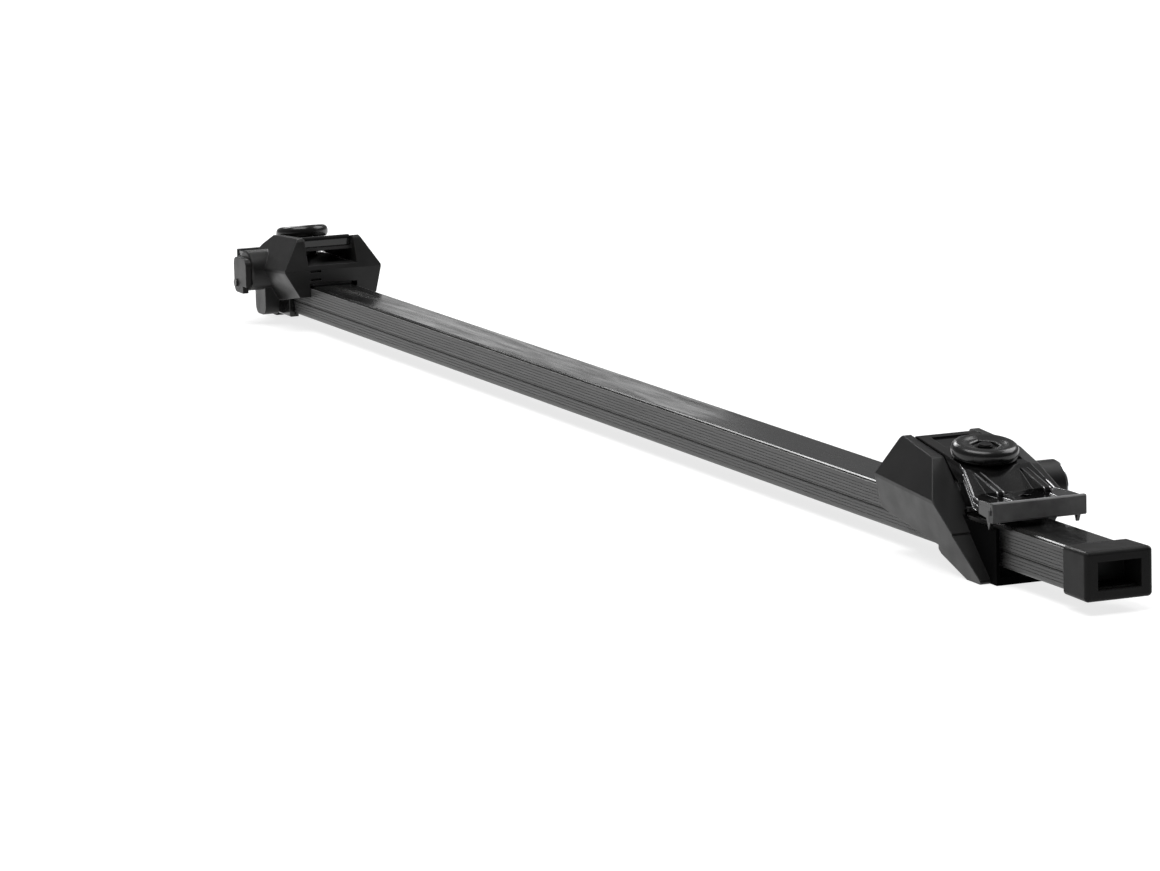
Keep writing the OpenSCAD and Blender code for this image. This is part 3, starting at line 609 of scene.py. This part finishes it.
def rib_beads(side, paint):
    """Pressed edges of the two ribs.

    Two beads run along each crest, which joins five points in X and Z by straight lines: up onto
    the rib, along it, over its nose and onto the flat. A crease runs on from the nose.
    """
    start = float(plate_height(np.array(RIB_SHOULDER))) + 0.6
    crest = FLAT_Z + RIB_RISE
    line = np.array((
        (RIB_FOOT, start - 1.6), (RIB_SHOULDER, start), (RIB_BROW, crest),
        (RIB_NOSE, crest - 1.2), (RIB_TIP, FLAT_Z),
    ))
    x = np.linspace(RIB_BEAD_FROM, RIB_TIP, RIB_BEAD_STEPS)
    z = np.interp(x, line[:, 0], line[:, 1]) - RIB_BEAD_SINK
    run = np.linspace(CREASE_FROM, CREASE_END, CREASE_STEPS)
    for label, sign in (("near", -1), ("far", 1)):
        for edge, shift in (("inner", -1), ("outer", 1)):
            y = sign * (RIB_AT + shift * (RIB_HALF - RIB_BEAD_INSET))
            edge_bead(f"rib_bead_{label}_{edge}", bead(x, y, z, RIB_BEAD), side, paint)
        y = sign * (RIB_AT - CREASE_SLOPE * (run - RIB_END))
        points = bead(run, y, FLAT_Z + CREASE_RISE, CREASE_BEAD)
        edge_bead(f"rib_crease_{label}", points, side, paint)


def skirt_beads(side, paint):
    """Folded edge and two pressed lines on each skirt, parallel to the plate's sloping edge."""
    for label, sign, start in SKIRT_SIDES:
        for row, (drop, end, radius) in enumerate(SKIRT_LINES):
            x = np.linspace(start + SKIRT_STEP * row, end, SKIRT_BEAD_STEPS)
            y = sign * (plate_edge(x) - SKIRT_SINK - SKIRT_BURY * radius)
            points = bead(x, y, plate_height(x) - drop, radius)
            edge_bead(f"skirt_bead_{label}_{row}", points, side, paint)


def side_skirt(side, paint):
    """Skirt folded down from the narrow part of the plate, on both sides of the stud.

    A rounded slab carried along X: its top follows the plate, and its lower edge falls as a
    power of a quarter sine to just above the housing's bridge.
    """
    x = np.linspace(*FOLD_REACH, FOLD_STEPS)[:, None]
    u = (x - x.min()) / (x.max() - x.min())
    fall = np.sin(np.pi / 2 * np.minimum(FOLD_PACE * u, 1.0)) ** FOLD_POWER
    top = plate_height(x) - FOLD_TOP
    low = top - FOLD_DEPTH - (top - FOLD_DEPTH - FOLD_LOW) * fall
    z = np.concatenate((top, low + FOLD_ROUND, low, low, low + FOLD_ROUND, top), axis=1)
    for label, sign in (("near", -1), ("far", 1)):
        inner, outer, r = sign * FOLD_INNER, sign * FOLD_OUTER, sign * FOLD_ROUND
        y = np.array((inner, inner, inner + r, outer - r, outer, outer))[None]
        points = np.stack(np.broadcast_arrays(x, y, z), axis=-1)
        make_piece(f"side_skirt_{label}_{side}", points, side,
                   "plate_" + side, paint)


def round_nut(side, black):
    """Disc nut: a closed outline turned round the stud, with its recess drawn out to a hexagon.

    The radius of an outline point is r, or in the recess a / cos(angle to the nearest flat) + r.
    """
    angle = full_turn(DISC_STEPS)[:, None]
    hexagon = HEX_HALF / np.cos((angle % (np.pi / 3)) - np.pi / 6)
    radius = DISC_OUTLINE[:, 0] + DISC_OUTLINE[:, 2] * hexagon
    height = np.broadcast_to(DISC_OUTLINE[:, 1], radius.shape) + DISC_LOW
    points = on_stud(np.stack((radius * np.cos(angle), radius * np.sin(angle), height), axis=-1))
    nut = make_piece("round_nut_" + side, points, side, "disc_" + side, black,
                     ring=True)
    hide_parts("disc_nut_" + side)


def stud_thread(side, steel):
    """M8 thread: the radius is a triangle wave of height over pitch less the turn."""
    height = np.linspace(*THREAD_REACH, THREAD_STEPS[0])[:, None]
    angle = full_turn(THREAD_STEPS[1])[None]
    phase = (height / THREAD_PITCH - angle / (2 * np.pi)) % 1.0
    radius = THREAD_CORE + THREAD_RIDGE * (1 - np.abs(2 * phase - 1))
    x, y, z = np.broadcast_arrays(radius * np.cos(angle), radius * np.sin(angle), height)
    make_piece("stud_thread_" + side, on_stud(np.stack((x, y, z), axis=-1)), side,
               "foot_" + side, steel)


def lock_bezel(chrome):
    """Bright ring round the right lock: a rounded outline turned about the boss's axis."""
    radius, height = BEZEL_OUTLINE[:, 0], BEZEL_OUTLINE[:, 1]
    angle = full_turn(BEZEL_STEPS)[:, None]
    x, z = BOSS_PLACE
    points = np.stack(np.broadcast_arrays(
        x + radius * np.cos(angle), BOSS_END + height, z + radius * np.sin(angle)
    ), axis=-1)
    make_piece("lock_bezel_right", points, "right", "foot_right", chrome, ring=True)


def dress(material, *names):
    """Puts a material on every slot of the named CAD nodes."""
    for name in names:
        mesh = nodes[name].data
        if not mesh.materials:
            mesh.materials.append(material)
        for index in range(len(mesh.materials)):
            mesh.materials[index] = material


def both(*stems):
    """The left and right nodes of each stem."""
    return [stem + "_" + side for stem in stems for side in SIDES]


def dress_frame():
    """Gives each CAD node its finish and adds the fine pieces on the feet."""
    paint = gloss_paint()
    black = nut_black()
    chrome = lock_chrome()
    # Painted highlight: bright metal for the beads on the plate's pressed edges
    edge = painted_highlight_edge()
    # Painted shade: the studs and hexagon nuts are darkened beyond their steel finish
    oxide_and_shade = oxide_and_recess_shade()
    dress(tube_paint(), "bar_tube")
    dress(ribbed_grey(), "bar_jacket")
    dress(cap_black(), *both("end_cap"))
    dress(moulded_black(), *both("foot_housing"), "lock_cover_left")
    dress(paint, *both("clamp_plate", "bar_jaw"))
    dress(dull_rubber(), *both("edge_strip", "top_pad"))
    dress(zinc_plate(), *both("side_bolt", "bolt_nut", "thrust_washer"))
    dress(dark_steel(), "cover_rivet_left")
    dress(oxide_and_shade, *both("nut_insert", "clamp_stud"))
    dress(chrome, *both("lock_barrel"))
    for side in SIDES:
        # The rib and skirt beads carry the painted highlight lines
        rib_beads(side, edge)
        skirt_beads(side, edge)
        side_skirt(side, paint)
        round_nut(side, black)
        stud_thread(side, oxide_and_shade)
    lock_bezel(chrome)


bpy.context.scene.view_settings.view_transform = "Standard"
make_camera()
make_world()
make_floor()
for lamp in LAMPS:
    soft_lamp(*lamp)
dress_frame()
